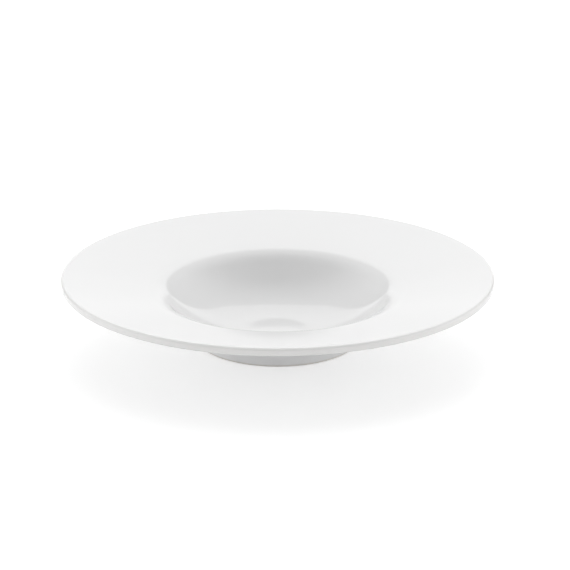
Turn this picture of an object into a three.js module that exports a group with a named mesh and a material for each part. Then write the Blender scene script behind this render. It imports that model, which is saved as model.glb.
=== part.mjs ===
// A deep plate of white porcelain: a wide rim that climbs outwards, a bowl-shaped well and a foot ring.
// Millimetres, +Z up. The origin is on the table, under the middle of the plate.
import * as THREE from "three";

const degrees = THREE.MathUtils.degToRad;

// Driving dimensions of the finished, glazed plate
const plateDiameter = 290; // across the rim's edge
const plateHeight = 47.5; // from the table to the top of the rim's edge
const wallThickness = 5; // through the rim and the well's wall
const rimSlope = degrees(11.5); // the rim's climb, outwards
const edgeTopRound = 1.8; // upper corner of the rim's edge
const edgeBottomRound = 1.4; // lower corner of the rim's edge
const mouthDiameter = 173; // where the rim starts to turn down into the well
const shoulderRound = 24; // the turn from the rim into the well
const floorDiameter = 36; // the level middle of the well's floor
const baseThickness = 3.8; // through the floor, inside the foot ring
const recessHeight = 1; // from the table to the middle of the base
const footDiameter = 113; // outside of the foot ring
const footWidth = 4.6; // across the foot ring, with its glaze
const footRound = 0.8; // both corners of the standing face
const heelRound = 3; // between the foot ring and the underside, on both of the ring's faces
const glazeThickness = 0.3;
const bareBand = 0.4; // bare clay between the standing face's corners and the glaze

// Fineness of the facets
const turnSteps = 48; // flats round the plate
const chordError = 0.15; // largest gap between an arc and its chords
const samePlace = 1e-6; // points closer than this are one point

// Places worked out from the dimensions, as (radius, height)
const right = 0;
const down = -Math.PI / 2;
const up = Math.PI / 2;
const left = Math.PI;
const plateRadius = plateDiameter / 2;
const footOuterRadius = footDiameter / 2;
const footInnerRadius = footOuterRadius - footWidth;
const floorHeight = recessHeight + baseThickness;
const glazeEndHeight = footRound + bareBand;

// The rim's upper face is a straight line that touches the edge's upper round.
const edgeTopCentre = new THREE.Vector2(plateRadius - edgeTopRound, plateHeight - edgeTopRound);

// Height of a line that runs at the rim's slope, a given depth below the rim's upper face
function rimHeight(radius, depth) {
  const climb = (radius - edgeTopCentre.x) * Math.tan(rimSlope);
  return edgeTopCentre.y + (edgeTopRound - depth) / Math.cos(rimSlope) + climb;
}

const edgeBottomRadius = plateRadius - edgeBottomRound;
const edgeBottomCentre = new THREE.Vector2(
  edgeBottomRadius,
  rimHeight(edgeBottomRadius, wallThickness - edgeBottomRound),
);
const shoulderRadius = mouthDiameter / 2 + shoulderRound * Math.sin(rimSlope);
const shoulderCentre = new THREE.Vector2(shoulderRadius, rimHeight(shoulderRadius, shoulderRound));

// The well is a bowl: one arc that starts level at the floor's edge and touches the shoulder's round from below.
const bowlWidth = shoulderCentre.x - floorDiameter / 2;
const bowlDepth = shoulderCentre.y - floorHeight;
const bowlRound = (bowlWidth ** 2 + bowlDepth ** 2 - shoulderRound ** 2) / (2 * (shoulderRound + bowlDepth));
const bowlCentre = new THREE.Vector2(floorDiameter / 2, floorHeight + bowlRound);
const wallSlope = Math.atan2(bowlWidth, bowlCentre.y - shoulderCentre.y);

// A round that fills the corner between the bowl's underside and one of the foot ring's upright faces
function heelCentre(radius, thickness) {
  const reach = bowlRound + thickness + heelRound;
  return new THREE.Vector2(radius, bowlCentre.y - Math.sqrt(reach ** 2 - (radius - bowlCentre.x) ** 2));
}

const outerHeelCentre = heelCentre(footOuterRadius + heelRound, wallThickness);
const innerHeelCentre = heelCentre(footInnerRadius - heelRound, baseThickness);
const outerHeelAngle = outerHeelCentre.clone().sub(bowlCentre).angle() - 2 * Math.PI;
const innerHeelAngle = innerHeelCentre.clone().sub(bowlCentre).angle() - 2 * Math.PI;

// Points along an arc, both ends included
function arc(centre, radius, from, to) {
  const stepAngle = 2 * Math.acos(1 - chordError / Math.max(radius, 2 * chordError));
  const steps = Math.max(1, Math.ceil(Math.abs(to - from) / stepAngle));
  return Array.from({ length: steps + 1 }, (_, index) => {
    const angle = THREE.MathUtils.lerp(from, to, index / steps);
    return new THREE.Vector2(radius * Math.cos(angle), radius * Math.sin(angle)).add(centre);
  });
}

// Runs of points as one outline, without a point that repeats the one before it
function joined(...runs) {
  const points = runs.flat();
  return points.filter((point, index) => index === 0 || point.distanceTo(points[index - 1]) > samePlace);
}

// The surface that shows, or the clay a given depth under it: from the middle of the well over the rim,
// round its edge and back along the underside, to the glaze's lower end on the foot ring's outer face
function outerSurface(depth) {
  return joined(
    new THREE.Vector2(0, floorHeight - depth),
    arc(bowlCentre, bowlRound + depth, down, down + wallSlope),
    arc(shoulderCentre, shoulderRound - depth, up + wallSlope, up + rimSlope),
    arc(edgeTopCentre, edgeTopRound - depth, up + rimSlope, up),
    arc(edgeTopCentre, edgeTopRound - depth, up, right),
    arc(edgeBottomCentre, edgeBottomRound - depth, right, down + rimSlope),
    arc(shoulderCentre, shoulderRound - wallThickness + depth, up + rimSlope, up + wallSlope),
    arc(bowlCentre, bowlRound + wallThickness - depth, down + wallSlope, outerHeelAngle),
    arc(outerHeelCentre, heelRound + depth, outerHeelAngle + Math.PI, left),
    new THREE.Vector2(footOuterRadius - depth, glazeEndHeight),
  );
}

// The surface inside the foot ring, or the clay a given depth above it: from the glaze's lower end on the
// ring's inner face to the middle of the base
function baseSurface(depth) {
  return joined(
    new THREE.Vector2(footInnerRadius + depth, glazeEndHeight),
    arc(innerHeelCentre, heelRound + depth, right, innerHeelAngle + Math.PI),
    arc(bowlCentre, bowlRound + baseThickness - depth, innerHeelAngle, down),
    new THREE.Vector2(0, recessHeight + depth),
  );
}

// The bare standing face with its two rounded corners, from the outside in
function standingFace() {
  const outerCorner = new THREE.Vector2(footOuterRadius - glazeThickness - footRound, footRound);
  const innerCorner = new THREE.Vector2(footInnerRadius + glazeThickness + footRound, footRound);
  return joined(arc(outerCorner, footRound, right, down), arc(innerCorner, footRound, down, -left));
}

// A solid turned about the plate's axis from an outline that runs clockwise, seen with the axis on the left
function turned(name, outline, material) {
  const geometry = new THREE.LatheGeometry(outline.slice().reverse(), turnSteps);
  geometry.rotateX(Math.PI / 2);
  const mesh = new THREE.Mesh(geometry, material);
  mesh.name = name;
  return mesh;
}

// Splits each four-cornered flat along its other diagonal, so that glaze and clay meet in the same triangles
function splitOtherWay(mesh) {
  const corners = mesh.geometry.index.array;
  const cornersPerFlat = 6;
  for (let start = 0; start < corners.length; start += cornersPerFlat) {
    const [a, b, d, c] = corners.slice(start, start + cornersPerFlat);
    corners.set([a, b, c, a, c, d], start);
  }
  return mesh;
}

// The fired clay: rim, well and foot ring in one piece, bare only at the standing face
function porcelainBody() {
  const clay = new THREE.MeshStandardMaterial({ color: 0xe9e6e1, roughness: 0.6, metalness: 0 });
  const outline = joined(outerSurface(glazeThickness), standingFace(), baseSurface(glazeThickness));
  return turned("porcelain_body", outline, clay);
}

// The glaze over everything that shows, ending on the foot ring's outer face
function glazeCoat() {
  const glaze = new THREE.MeshStandardMaterial({ color: 0xf5f5f4, roughness: 0.08, metalness: 0 });
  const outline = joined(outerSurface(0), outerSurface(glazeThickness).reverse());
  return splitOtherWay(turned("glaze_coat", outline, glaze));
}

// The glaze inside the foot ring, which the bare standing face parts from the rest
function baseGlaze() {
  const glaze = new THREE.MeshStandardMaterial({ color: 0xf5f5f4, roughness: 0.08, metalness: 0 });
  const outline = joined(baseSurface(glazeThickness).reverse(), baseSurface(0));
  return splitOtherWay(turned("base_glaze", outline, glaze));
}

const plate = new THREE.Group();
plate.add(porcelainBody(), glazeCoat(), baseGlaze());
export default plate;
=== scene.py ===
import math

import bpy
import numpy as np
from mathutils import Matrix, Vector


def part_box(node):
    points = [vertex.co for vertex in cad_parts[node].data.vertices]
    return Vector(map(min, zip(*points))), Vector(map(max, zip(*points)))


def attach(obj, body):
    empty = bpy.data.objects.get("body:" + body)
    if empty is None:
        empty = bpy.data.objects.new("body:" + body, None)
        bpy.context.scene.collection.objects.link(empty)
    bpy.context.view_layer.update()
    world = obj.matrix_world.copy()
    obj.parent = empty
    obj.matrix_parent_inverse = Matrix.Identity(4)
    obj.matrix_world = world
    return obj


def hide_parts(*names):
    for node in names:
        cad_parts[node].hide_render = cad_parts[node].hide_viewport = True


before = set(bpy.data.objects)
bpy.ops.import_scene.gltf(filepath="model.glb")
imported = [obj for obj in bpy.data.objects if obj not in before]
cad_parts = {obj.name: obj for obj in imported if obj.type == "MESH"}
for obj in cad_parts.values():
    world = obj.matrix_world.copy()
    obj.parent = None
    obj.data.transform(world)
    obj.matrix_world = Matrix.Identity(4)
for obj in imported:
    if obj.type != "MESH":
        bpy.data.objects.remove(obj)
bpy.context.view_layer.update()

# The clay body: the rim, the well and the foot ring, pressed in one piece from white porcelain clay and
# fired. The glaze hides all of it but the foot ring's standing face, which is wiped bare before firing and
# ground smooth afterwards, so that the plate neither sticks in the kiln nor scratches a table.
MM = 0.001
coat_low, coat_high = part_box("glaze_coat")
_, clay_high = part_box("porcelain_body")
_, base_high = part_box("base_glaze")
plate_radius = coat_high.x
plate_height = coat_high.z
glaze_thickness = coat_high.x - clay_high.x
glaze_end_height = coat_low.z
foot_inner_radius = base_high.x - glaze_thickness
foot_width = 4.6 * MM
foot_outer_radius = foot_inner_radius + foot_width
foot_round = 0.8 * MM
heel_round = 3.0 * MM
wall_thickness = 5.0 * MM
base_thickness = 3.8 * MM
recess_height = 1.0 * MM
floor_height = recess_height + base_thickness
floor_radius = 18.0 * MM
mouth_radius = 86.5 * MM
shoulder_round = 24.0 * MM
rim_slope = math.radians(11.5)
edge_top_round = 1.8 * MM
edge_bottom_round = 1.4 * MM

# Fineness of the meshes
TURNS = 192
CHORD_ERROR = 0.002 * MM
FEWEST_STEPS = 6
FLOOR_POINTS = 5
RIM_POINTS = 12
SAME_PLACE = 0.001 * MM

# Directions in the outline's plane, and the centres of its rounds as (radius, height)
RIGHT, UP, LEFT, DOWN = 0.0, math.pi / 2, math.pi, -math.pi / 2
rim_normal = np.array([-math.sin(rim_slope), math.cos(rim_slope)])
edge_top = np.array([plate_radius - edge_top_round, plate_height - edge_top_round])


def rim_line(radius, depth):
    """Height of the line that climbs at the rim's slope, a depth below the rim's upper face."""
    climb = (radius - edge_top[0]) * math.tan(rim_slope)
    return edge_top[1] + (edge_top_round - depth) / math.cos(rim_slope) + climb


edge_bottom_radius = plate_radius - edge_bottom_round
edge_bottom_height = rim_line(edge_bottom_radius, wall_thickness - edge_bottom_round)
edge_bottom = np.array([edge_bottom_radius, edge_bottom_height])
shoulder_radius = mouth_radius + shoulder_round * math.sin(rim_slope)
shoulder = np.array([shoulder_radius, rim_line(shoulder_radius, shoulder_round)])

# The bowl is the one arc that starts level at the floor's edge and touches the shoulder's round from below.
bowl_width = shoulder[0] - floor_radius
bowl_depth = shoulder[1] - floor_height
bowl_round = (bowl_width**2 + bowl_depth**2 - shoulder_round**2) / (2 * (shoulder_round + bowl_depth))
bowl = np.array([floor_radius, floor_height + bowl_round])
wall_slope = math.atan2(bowl_width, bowl[1] - shoulder[1])


def heel_place(radius, thickness):
    """Centre of the round that fills the corner between the bowl's underside and an upright foot face, and
    the angle at which the bowl's centre sees it."""
    reach = bowl_round + thickness + heel_round
    height = bowl[1] - math.sqrt(reach**2 - (radius - bowl[0]) ** 2)
    return np.array([radius, height]), math.atan2(height - bowl[1], radius - bowl[0])


outer_heel, outer_heel_angle = heel_place(foot_outer_radius + heel_round, wall_thickness)
inner_heel, inner_heel_angle = heel_place(foot_inner_radius - heel_round, base_thickness)


def arc(centre, radius, start, stop):
    """Points centre + radius (cos a, sin a), with the angle a in even steps from start to stop, as many as
    keep the chords within the chord error of the arc."""
    step = 2 * math.acos(1 - CHORD_ERROR / radius)
    steps = max(FEWEST_STEPS, math.ceil(abs(stop - start) / step))
    angle = np.linspace(start, stop, steps + 1)
    return centre + radius * np.column_stack([np.cos(angle), np.sin(angle)])


def straight(start, stop, count):
    """Points along a straight line at the shares (1 - cos pi t) / 2 of its length, with t in even steps from
    0 to 1 and both ends left out. They lie closer at the ends, so that a round there doesn't tilt the shading
    of the whole line."""
    share = (1 - np.cos(math.pi * np.linspace(0, 1, count + 2)[1:-1, None])) / 2
    return (1 - share) * np.asarray(start) + share * np.asarray(stop)


def joined(*runs):
    """Runs of points as one outline, without the points that repeat the one before them."""
    points = np.vstack(runs)
    apart = np.hypot(*np.diff(points, axis=0).T) > SAME_PLACE
    return points[np.append(True, apart)]


def upper_side(depth):
    """The plate's outer surface, or the clay a depth under it: from the middle of the well over the rim and
    round its edge, back along the underside and down to the heel of the foot ring's outer face."""
    middle = [0, floor_height - depth]
    floor_edge = [floor_radius, floor_height - depth]
    under_round = shoulder_round - wall_thickness + depth
    rim_start = shoulder + (shoulder_round - depth) * rim_normal
    rim_end = edge_top + (edge_top_round - depth) * rim_normal
    under_start = edge_bottom - (edge_bottom_round - depth) * rim_normal
    under_end = shoulder + under_round * rim_normal
    return joined(
        [middle],
        straight(middle, floor_edge, FLOOR_POINTS),
        arc(bowl, bowl_round + depth, DOWN, DOWN + wall_slope),
        arc(shoulder, shoulder_round - depth, UP + wall_slope, UP + rim_slope),
        straight(rim_start, rim_end, RIM_POINTS),
        arc(edge_top, edge_top_round - depth, UP + rim_slope, UP),
        arc(edge_top, edge_top_round - depth, UP, RIGHT),
        arc(edge_bottom, edge_bottom_round - depth, RIGHT, DOWN + rim_slope),
        straight(under_start, under_end, RIM_POINTS),
        arc(shoulder, under_round, UP + rim_slope, UP + wall_slope),
        arc(bowl, bowl_round + wall_thickness - depth, DOWN + wall_slope, outer_heel_angle),
        arc(outer_heel, heel_round + depth, outer_heel_angle + LEFT, LEFT),
    )


def under_base(depth):
    """The surface inside the foot ring, or the clay a depth above it: from the heel of the ring's inner face
    to the middle of the base."""
    middle = [0, recess_height + depth]
    floor_edge = [floor_radius, recess_height + depth]
    return joined(
        arc(inner_heel, heel_round + depth, RIGHT, inner_heel_angle + LEFT),
        arc(bowl, bowl_round + base_thickness - depth, inner_heel_angle, DOWN),
        straight(floor_edge, middle, FLOOR_POINTS),
        [middle],
    )


turn_angles = np.arange(TURNS) * 2 * math.pi / TURNS


def turned(name, outline, sway=0.0, wave=0.0):
    """A closed skin turned about the plate's axis. Point i of the outline at turn j lies at radius r_i, at
    the angle 2 pi j / TURNS and at the height z_i + sway_i wave_j. The outline's ends lie on the axis."""
    radius, height = outline[1:-1, :1], outline[1:-1, 1:]
    swayed = height + np.reshape(sway, (-1, 1)) * np.reshape(wave, (1, -1))
    places = np.broadcast_arrays(radius * np.cos(turn_angles), radius * np.sin(turn_angles), swayed)
    poles = [[0, 0, outline[0, 1]], [0, 0, outline[-1, 1]]]
    points = np.vstack([np.stack(places, axis=-1).reshape(-1, 3), poles])
    rings = len(outline) - 2
    here = np.arange(TURNS)
    onward = np.roll(here, -1)
    row = np.arange(rings - 1)[:, None] * TURNS
    corners = [row + here, row + TURNS + here, row + TURNS + onward, row + onward]
    flats = np.stack(corners, axis=-1).reshape(-1, 4)
    last = (rings - 1) * TURNS
    first_pole = np.full(TURNS, rings * TURNS)
    first_fan = np.column_stack([first_pole, here, onward])
    last_fan = np.column_stack([last + here, first_pole + 1, last + onward])
    mesh = bpy.data.meshes.new(name)
    mesh.from_pydata(points.tolist(), [], flats.tolist() + first_fan.tolist() + last_fan.tolist())
    mesh.shade_smooth()
    piece = bpy.data.objects.new(name, mesh)
    bpy.context.scene.collection.objects.link(piece)
    return piece


class Wire:
    """An output of a shader node. Arithmetic on it adds Math nodes to the same tree."""

    def __init__(self, tree, output=None):
        self.tree = tree
        self.output = output

    def node(self, kind, settings, sockets, result=0):
        """Adds a node, makes its settings and then fills its sockets with numbers, colours or wires."""
        made = self.tree.nodes.new(kind)
        for name, setting in settings.items():
            setattr(made, name, setting)
        for name, value in sockets.items():
            if isinstance(value, Wire):
                self.tree.links.new(value.output, made.inputs[name])
            else:
                made.inputs[name].default_value = value
        return Wire(self.tree, made.outputs[result] if made.outputs else None)

    def maths(self, operation, first, second):
        return self.node("ShaderNodeMath", {"operation": operation}, {0: first, 1: second})

    def __add__(self, other):
        return self.maths("ADD", self, other)

    __radd__ = __add__

    def __sub__(self, other):
        return self.maths("SUBTRACT", self, other)

    def __rsub__(self, other):
        return self.maths("SUBTRACT", other, self)

    def __mul__(self, other):
        return self.maths("MULTIPLY", self, other)

    __rmul__ = __mul__

    def __truediv__(self, other):
        return self.maths("DIVIDE", self, other)

    def __pow__(self, other):
        return self.maths("POWER", self, other)

    def above(self, start, stop):
        """0 up to start, 1 from stop on, and a smooth rise between."""
        sockets = {"Value": self, "From Min": start, "From Max": stop}
        return self.node("ShaderNodeMapRange", {"interpolation_type": "SMOOTHSTEP"}, sockets)

    def noise(self, size, detail=2.0):
        """Cloudy noise from 0 to 1 whose patches are about a size across; this wire is the place."""
        sockets = {"Vector": self, "Scale": 1 / size, "Detail": detail}
        return self.node("ShaderNodeTexNoise", {}, sockets)

    def blend(self, first, second):
        """A colour that goes from the first to the second as this wire goes from 0 to 1."""
        ends = [end if isinstance(end, Wire) else (*end, 1) for end in (first, second)]
        sockets = {"Factor": self, 6: ends[0], 7: ends[1]}
        return self.node("ShaderNodeMix", {"data_type": "RGBA"}, sockets, 2)


def finish(name, colour, roughness, bump, distance, ior):
    """A Principled material. Its colour, roughness and bump are wires made from the place on the piece."""
    material = bpy.data.materials.new(name)
    material.use_nodes = True
    tree = material.node_tree
    tree.nodes.clear()
    start = Wire(tree)
    place = start.node("ShaderNodeTexCoord", {}, {}, "Object")
    sockets = {"Height": bump(place), "Distance": distance, "Strength": 1.0}
    normal = start.node("ShaderNodeBump", {}, sockets)
    sockets = {"Base Color": colour(place), "Roughness": roughness(place), "IOR": ior, "Normal": normal}
    surface = start.node("ShaderNodeBsdfPrincipled", {}, sockets)
    start.node("ShaderNodeOutputMaterial", {"target": "ALL"}, {"Surface": surface})
    return material


def axis_distance(place):
    """Distance of the place from the plate's axis."""
    flat = place.node("ShaderNodeVectorMath", {"operation": "MULTIPLY"}, {0: place, 1: (1, 1, 0)})
    return place.node("ShaderNodeVectorMath", {"operation": "LENGTH"}, {0: flat}, "Value")


clay_pale = (0.83, 0.81, 0.78)
clay_shaded = (0.74, 0.71, 0.67)
clay_ior = 1.5
grain_size = 0.35 * MM
grain_height = 0.03 * MM
grain_share = 0.45
stain_size = 14 * MM
stain_share = 0.55
ground_roughness = 0.5
grain_roughness = 0.25
grinding_pitch = 0.3 * MM
grinding_bump = 0.15
grain_bump = 0.7


def clay_colour(place):
    """Pale fired clay with a fine grain and faint kiln stains."""
    shade = grain_share * place.noise(grain_size) + stain_share * place.noise(stain_size)
    return shade.blend(clay_pale, clay_shaded)


def clay_roughness(place):
    """Matt, and a little smoother where the grain is ground down."""
    return ground_roughness + grain_roughness * place.noise(grain_size)


def clay_bump(place):
    """Grain, with the round marks of the grinding wheel."""
    turns = axis_distance(place) * (2 * math.pi / grinding_pitch)
    marks = place.node("ShaderNodeMath", {"operation": "SINE"}, {0: turns})
    return grain_bump * place.noise(grain_size) + grinding_bump * marks


clay = finish("fired clay", clay_colour, clay_roughness, clay_bump, grain_height, clay_ior)
foot_outer_corner = np.array([foot_outer_radius - glaze_thickness - foot_round, foot_round])
foot_inner_corner = np.array([foot_inner_radius + glaze_thickness + foot_round, foot_round])
clay_outline = joined(
    upper_side(glaze_thickness),
    arc(foot_outer_corner, foot_round, RIGHT, DOWN),
    arc(foot_inner_corner, foot_round, DOWN, -LEFT),
    under_base(glaze_thickness),
)
clay_body = turned("clay_body", clay_outline)
clay_body.data.materials.append(clay)
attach(clay_body, "root")
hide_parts("porcelain_body")

# The glaze over the plate: clear gloss glaze, fused in the kiln to everything that shows. It is a skin of
# even thickness that ends low on the foot ring's outer face in a rounded bead, whose lower edge wanders a
# little where the wet glaze was wiped off by hand.
glaze_white = (0.905, 0.905, 0.905)
glaze_cool = (0.886, 0.888, 0.888)
glaze_edge = (0.87, 0.86, 0.84)
glaze_ior = 1.5
tone_size = 45 * MM
edge_wear_width = 2.5 * MM
edge_wear_share = 0.5
gloss_size = 18 * MM
gloss_roughness = 0.05
gloss_range = 0.05
ripple_size = 16 * MM
ripple_height = 0.012 * MM
wander = 0.22 * MM
slow_waves = 7
slow_share = 0.3
quick_waves = 19
quick_share = 0.2
quick_start = 1.0


def glaze_colour(place):
    """White, with faint cooler clouds, and a little warmer where the glaze thins at the rim's edge."""
    toned = place.noise(tone_size).blend(glaze_white, glaze_cool)
    edge = axis_distance(place).above(plate_radius - edge_wear_width, plate_radius)
    return (edge * edge_wear_share).blend(toned, glaze_edge)


def glaze_roughness(place):
    """Gloss that varies a little from patch to patch."""
    return gloss_roughness + gloss_range * place.noise(gloss_size)


def glaze_bump(place):
    """The slow ripple of a glaze that has flowed."""
    return place.noise(ripple_size, 0.0)


def bead_sway(outline):
    """1 for the points of a bead, low on the foot ring, which follow the wandering edge, and 0 elsewhere."""
    radius, height = outline[1:-1].T
    on_foot = radius > foot_inner_radius - glaze_thickness
    in_bead = height < glaze_end_height + glaze_thickness + SAME_PLACE
    return (on_foot & in_bead).astype(float)


# The bead's edge rises by no more than the wander, in slow and quick waves round the ring.
slow_rise = slow_share * (1 + np.sin(slow_waves * turn_angles))
quick_rise = quick_share * (1 + np.sin(quick_waves * turn_angles + quick_start))
edge_wander = wander * (slow_rise + quick_rise)
glaze = finish("gloss glaze", glaze_colour, glaze_roughness, glaze_bump, ripple_height, glaze_ior)
coat_bead_centre = np.array([foot_outer_radius - glaze_thickness, glaze_end_height + glaze_thickness])
coat_bead = arc(coat_bead_centre, glaze_thickness, RIGHT, DOWN)
coat_outline = joined(upper_side(0), coat_bead, upper_side(glaze_thickness)[::-1])
glaze_over_plate = turned("glaze_over_plate", coat_outline, bead_sway(coat_outline), edge_wander)
glaze_over_plate.data.materials.append(glaze)
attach(glaze_over_plate, "root")
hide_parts("glaze_coat")

# The glaze inside the foot ring: the same gloss glaze on the hollow of the base. The bare standing face parts
# it from the rest, and it ends on the ring's inner face in a bead of its own.
base_bead_centre = np.array([foot_inner_radius + glaze_thickness, glaze_end_height + glaze_thickness])
base_bead = arc(base_bead_centre, glaze_thickness, DOWN, -LEFT)
base_outline = joined(under_base(glaze_thickness)[::-1], base_bead, under_base(0))
glaze_inside_foot = turned("glaze_inside_foot", base_outline, bead_sway(base_outline), edge_wander)
glaze_inside_foot.data.materials.append(glaze)
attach(glaze_inside_foot, "root")
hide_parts("base_glaze")

# The studio floor: a wide sheet of matt white paper under the plate. It shows as white and keeps the plate's
# shadow, because the camera and reflections see a little added light on it that lights nothing else.
floor_half_width = 6.0
floor_white = (0.93, 0.93, 0.93)
floor_glow = 0.38
corners = floor_half_width * np.array([[-1, -1, 0], [1, -1, 0], [1, 1, 0], [-1, 1, 0]])
floor_mesh = bpy.data.meshes.new("studio_floor")
floor_mesh.from_pydata(corners.tolist(), [], [[0, 1, 2, 3]])
studio_floor = bpy.data.objects.new("studio_floor", floor_mesh)
bpy.context.scene.collection.objects.link(studio_floor)
paper = bpy.data.materials.new("white paper")
paper.use_nodes = True
paper.node_tree.nodes.clear()
paper_start = Wire(paper.node_tree)


def seen_directly(start):
    """1 for the camera's rays and for rays that are mirrored or pass through glass, 0 for diffuse light."""
    camera = start.node("ShaderNodeLightPath", {}, {}, "Is Camera Ray")
    mirrored = start.node("ShaderNodeLightPath", {}, {}, "Is Glossy Ray")
    passed = start.node("ShaderNodeLightPath", {}, {}, "Is Transmission Ray")
    return start.maths("MINIMUM", camera + mirrored + passed, 1.0)


glow = paper_start.node("ShaderNodeEmission", {}, {"Strength": seen_directly(paper_start) * floor_glow})
matt = paper_start.node("ShaderNodeBsdfDiffuse", {}, {"Color": (*floor_white, 1)})
sheet = paper_start.node("ShaderNodeAddShader", {}, {0: matt, 1: glow})
paper_start.node("ShaderNodeOutputMaterial", {"target": "ALL"}, {"Surface": sheet})
floor_mesh.materials.append(paper)

# The studio light: a dim room whose ceiling is bright behind the plate. Pale walls to the left and right are
# brightest low down, some light comes from low in front, and a white panel with an arched top stands straight
# behind, a little dimmer near the floor. The glaze mirrors them, and the camera sees the room as white.
room_level = 0.29
ceiling_level = 4.2
wall_level = 1.75
low_wall_level = 0.8
front_level = 0.8
panel_level = 0.97
panel_half_width = 0.45
panel_top = 1.4
panel_arch = 1.5
panel_edge = 0.02
panel_dim_share = 0.22
panel_dim_low = 0.03
panel_dim_high = 0.2
least_behind = 0.01
white = (1, 1, 1, 1)
world = bpy.data.worlds.new("pale room")
bpy.context.scene.world = world
world.use_nodes = True
world.node_tree.nodes.clear()
sky = Wire(world.node_tree)
direction = sky.node("ShaderNodeTexCoord", {}, {}, "Generated")
across = sky.node("ShaderNodeSeparateXYZ", {}, {0: direction}, "X")
away = sky.node("ShaderNodeSeparateXYZ", {}, {0: direction}, "Y")
upwards = sky.node("ShaderNodeSeparateXYZ", {}, {0: direction}, "Z")
overhead = sky.maths("MAXIMUM", upwards, 0.0)
behind = sky.maths("MAXIMUM", away, least_behind)
in_front = sky.maths("MAXIMUM", 0 - away, 0.0)
ceiling = ceiling_level * behind * overhead**3
walls = across**4 * (wall_level + low_wall_level * (1 - overhead) ** 4)
front = front_level * in_front * (1 - overhead) ** 6
aside = sky.maths("ABSOLUTE", across, 0.0) / behind
arched = overhead / behind + panel_arch * aside**2
in_width = 1 - aside.above(panel_half_width - panel_edge, panel_half_width + panel_edge)
in_height = 1 - arched.above(panel_top - panel_edge, panel_top + panel_edge)
panel_shade = 1 - panel_dim_share * (1 - overhead.above(panel_dim_low, panel_dim_high))
panel = panel_level * in_width * in_height * panel_shade
room = room_level + ceiling + walls + front + panel
room_light = sky.node("ShaderNodeBackground", {}, {"Color": white, "Strength": room})
white_room = sky.node("ShaderNodeBackground", {}, {"Color": white, "Strength": 1.0})
camera_only = sky.node("ShaderNodeLightPath", {}, {}, "Is Camera Ray")
both = sky.node("ShaderNodeMixShader", {}, {"Fac": camera_only, 1: room_light, 2: white_room})
sky.node("ShaderNodeOutputWorld", {"target": "ALL"}, {"Surface": both})

# The camera: a short telephoto, a little above the rim, that looks down on the plate as the photograph does.
# The target is a point on the plate's axis, and the target pixel is where the photograph shows it.
IMAGE_SIDE = 570
SENSOR_WIDTH = 36.0
view_elevation = math.radians(18.695)
view_distance = 1.1
focal_pixels = 1634.3
target_height = 48 * MM
target_pixel = (277.80, 269.41)
target = Vector((0, 0, target_height))
forward = Vector((0, math.cos(view_elevation), -math.sin(view_elevation)))
upward = Vector((0, math.sin(view_elevation), math.cos(view_elevation)))
sideways = Vector((1, 0, 0))
metres_per_pixel = view_distance / focal_pixels
off_centre = [(IMAGE_SIDE / 2 - pixel) * metres_per_pixel for pixel in target_pixel]
aim = target + sideways * off_centre[0] - upward * off_centre[1]
camera_data = bpy.data.cameras.new("camera")
camera_data.sensor_width = SENSOR_WIDTH
camera_data.lens = focal_pixels / IMAGE_SIDE * SENSOR_WIDTH
camera = bpy.data.objects.new("camera", camera_data)
camera.location = target - forward * view_distance
camera.rotation_mode = "QUATERNION"
camera.rotation_quaternion = (aim - camera.location).to_track_quat("-Z", "Y")
bpy.context.scene.collection.objects.link(camera)
bpy.context.scene.camera = camera
bpy.context.scene.view_settings.view_transform = "Standard"
